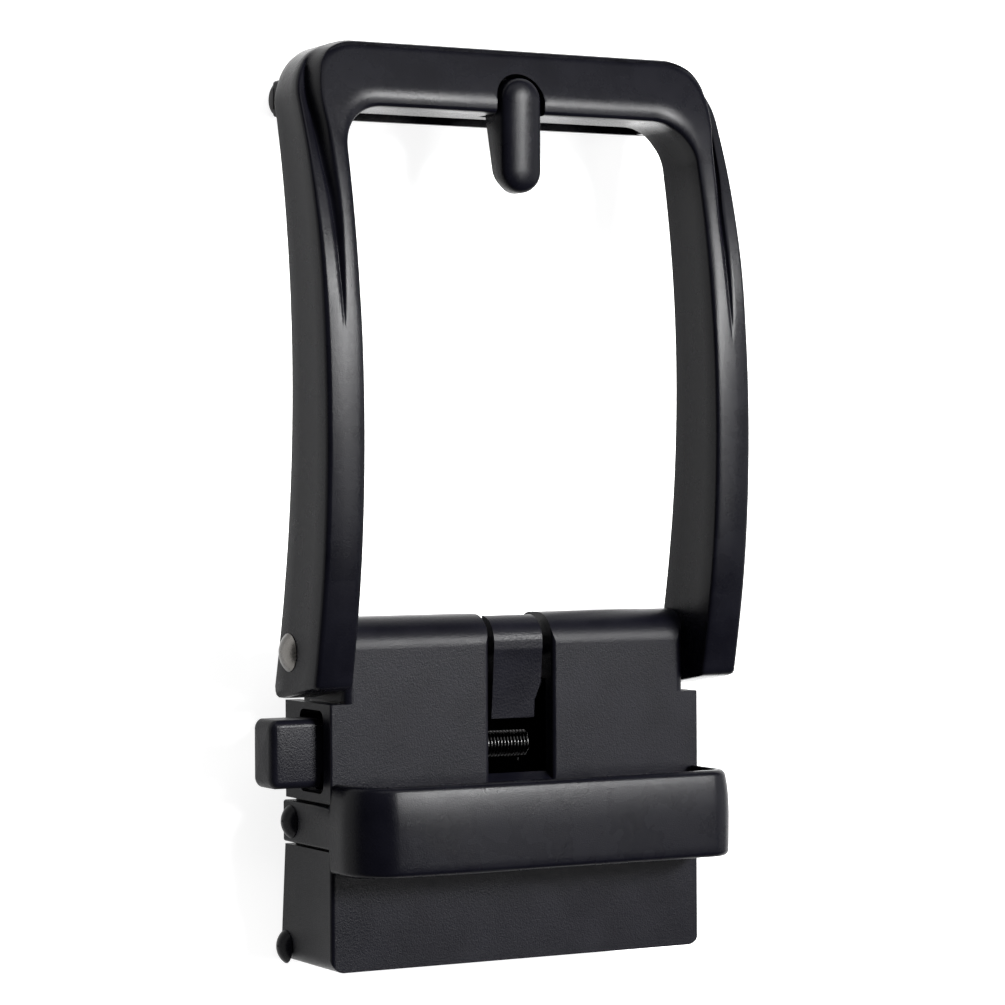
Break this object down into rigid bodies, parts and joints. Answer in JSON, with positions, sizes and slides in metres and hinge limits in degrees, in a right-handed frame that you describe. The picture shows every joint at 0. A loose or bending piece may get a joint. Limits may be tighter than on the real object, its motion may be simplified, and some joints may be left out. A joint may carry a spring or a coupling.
{
  "type": "belt buckle",
  "caption": "Ratchet belt buckle with an arched open frame hinged to a short housing with a keeper band, a side release button and a strap clamp.",
  "frame": {"origin": "On the surface it lies on, in the flat back of the strap clamp, under the middle of the housing", "axes": "+X across the strap, +Y from the strap clamp to the crossbar, +Z out of the buckle's front"},
  "size_m": [0.0464, 0.0826, 0.018],
  "materials": {
    "coated_frame": "matte black coat on cast zinc",
    "coated_prong": "matte black coat on cast zinc",
    "coated_housing": "matte black coat on cast zinc",
    "coated_keeper": "matte black coat on bent steel",
    "coated_clamp": "matte black coat on cast zinc",
    "grained_black": "grained black coat on cast zinc",
    "spring_steel": "darkened wire",
    "antique_steel": "polished, slightly darkened",
    "black_rivet": "satin black"
  },
  "bodies": {
    "housing": {"housing": "coated_housing", "keeper": "coated_keeper", "keeper_rivet_left": "black_rivet", "keeper_rivet_right": "black_rivet", "hinge_pin": "antique_steel", "clamp_pin": "black_rivet", "strap_clamp": "coated_clamp"},
    "frame": {"frame": "coated_frame", "prong": "coated_prong"},
    "lever": {"release_lever": "grained_black", "return_spring": "spring_steel"}
  },
  "joints": [
    {"name": "frame_hinge", "type": "hinge", "parent": "housing", "child": "frame", "pos_m": [0, 0.01265, 0.0083], "axis": [1, 0, 0], "range_deg": [-80, 15]},
    {"name": "lever_hinge", "type": "hinge", "parent": "housing", "child": "lever", "pos_m": [0, 0.01265, 0.0083], "axis": [1, 0, 0], "range_deg": [0, 12], "stiffness_Nm_per_rad": 0.02, "springref_deg": -17.19}
  ]
}
